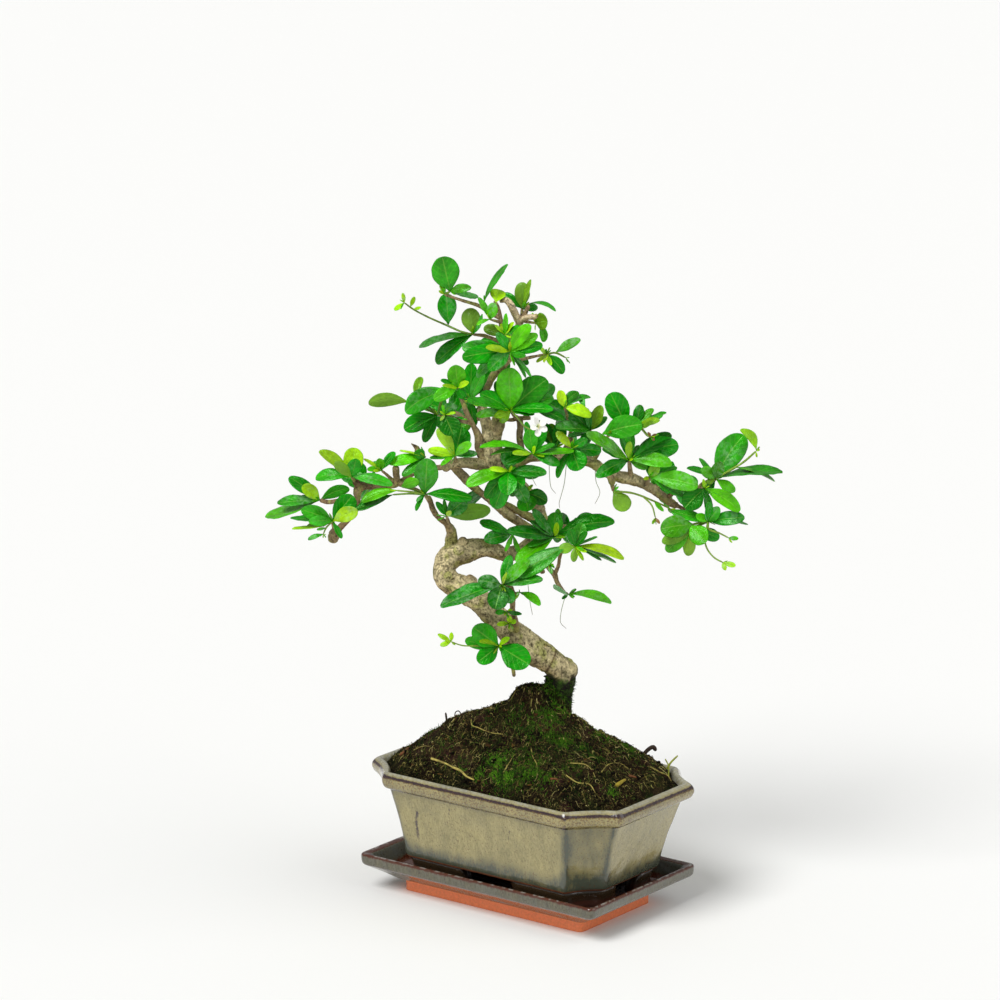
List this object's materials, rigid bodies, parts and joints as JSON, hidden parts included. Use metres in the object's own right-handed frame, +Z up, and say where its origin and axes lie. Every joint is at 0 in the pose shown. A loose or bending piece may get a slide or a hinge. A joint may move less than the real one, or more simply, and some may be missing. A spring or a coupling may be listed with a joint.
{
  "type": "fukien tea bonsai",
  "caption": "Small Fukien tea bonsai with a winding trunk, spreading leafy limbs and a white flower, planted in a glazed rectangular pot with cut corners on a matching saucer.",
  "frame": {"origin": "centre of the flat underside of the saucer's foot", "axes": "+Z up along the tree; +X along the long side of the pot, towards the tree's right limb; +Y across the pot, away from the side that faces the viewer"},
  "size_m": [0.2223, 0.1754, 0.335],
  "materials": {
    "saucer": "gloss",
    "pot": "gloss",
    "soil": "matte",
    "wood": "matte",
    "leaf_new": "satin",
    "leaf_fresh": "satin",
    "leaf_green": "satin",
    "leaf_sheen": "satin",
    "leaf_olive": "satin",
    "petal": "matte"
  },
  "bodies": {
    "root": {"saucer": "saucer", "pot": "pot", "soil": "soil", "wood": "wood", "spray_top_left_tip": "leaf_sheen", "spray_top_left": "leaf_green", "spray_top_long": "leaf_fresh", "spray_top_stub": "leaf_green", "spray_top_oval": "leaf_green", "spray_top_front": "leaf_fresh", "spray_top_core": "leaf_new", "spray_top_right": "leaf_green", "spray_fan": "leaf_green", "spray_fan_right": "leaf_green", "spray_fan_left": "leaf_green", "spray_shoot_tip": "leaf_fresh", "spray_left_high": "leaf_sheen", "spray_left_round": "leaf_green", "spray_left_stub": "leaf_fresh", "spray_mid_left": "leaf_sheen", "spray_mid_round": "leaf_sheen", "spray_elbow": "leaf_green", "spray_far_left_high": "leaf_new", "spray_left_up": "leaf_fresh", "spray_far_left": "leaf_green", "spray_far_left_low": "leaf_green", "spray_crown_right": "leaf_fresh", "spray_dark_right": "leaf_green", "spray_right_big": "leaf_sheen", "spray_right_rosette": "leaf_fresh", "spray_right_olive": "leaf_green", "spray_right_mid": "leaf_fresh", "spray_right_tip": "leaf_sheen", "spray_right_low": "leaf_green", "spray_hanging": "leaf_olive", "spray_centre_right": "leaf_fresh", "spray_centre": "leaf_green", "spray_centre_low": "leaf_green", "spray_low_right": "leaf_green", "spray_low_centre": "leaf_green", "spray_low_right_front": "leaf_new", "spray_low_left": "leaf_green", "spray_low_right_blade": "leaf_fresh", "spray_low_left_bit": "leaf_sheen", "spray_lowest": "leaf_green", "spray_trunk_sprout": "leaf_new", "spray_low_twig": "leaf_fresh", "spray_twig_leaf": "leaf_fresh", "spray_right_under": "leaf_green", "spray_behind_flower": "leaf_olive", "spray_back_top": "leaf_green", "spray_back_left": "leaf_green", "spray_back_right": "leaf_green", "spray_back_centre": "leaf_green", "spray_back_low": "leaf_green", "spray_back_far_right": "leaf_green", "spray_back_far_left": "leaf_green", "flower_petals": "petal"}
  },
  "joints": []
}
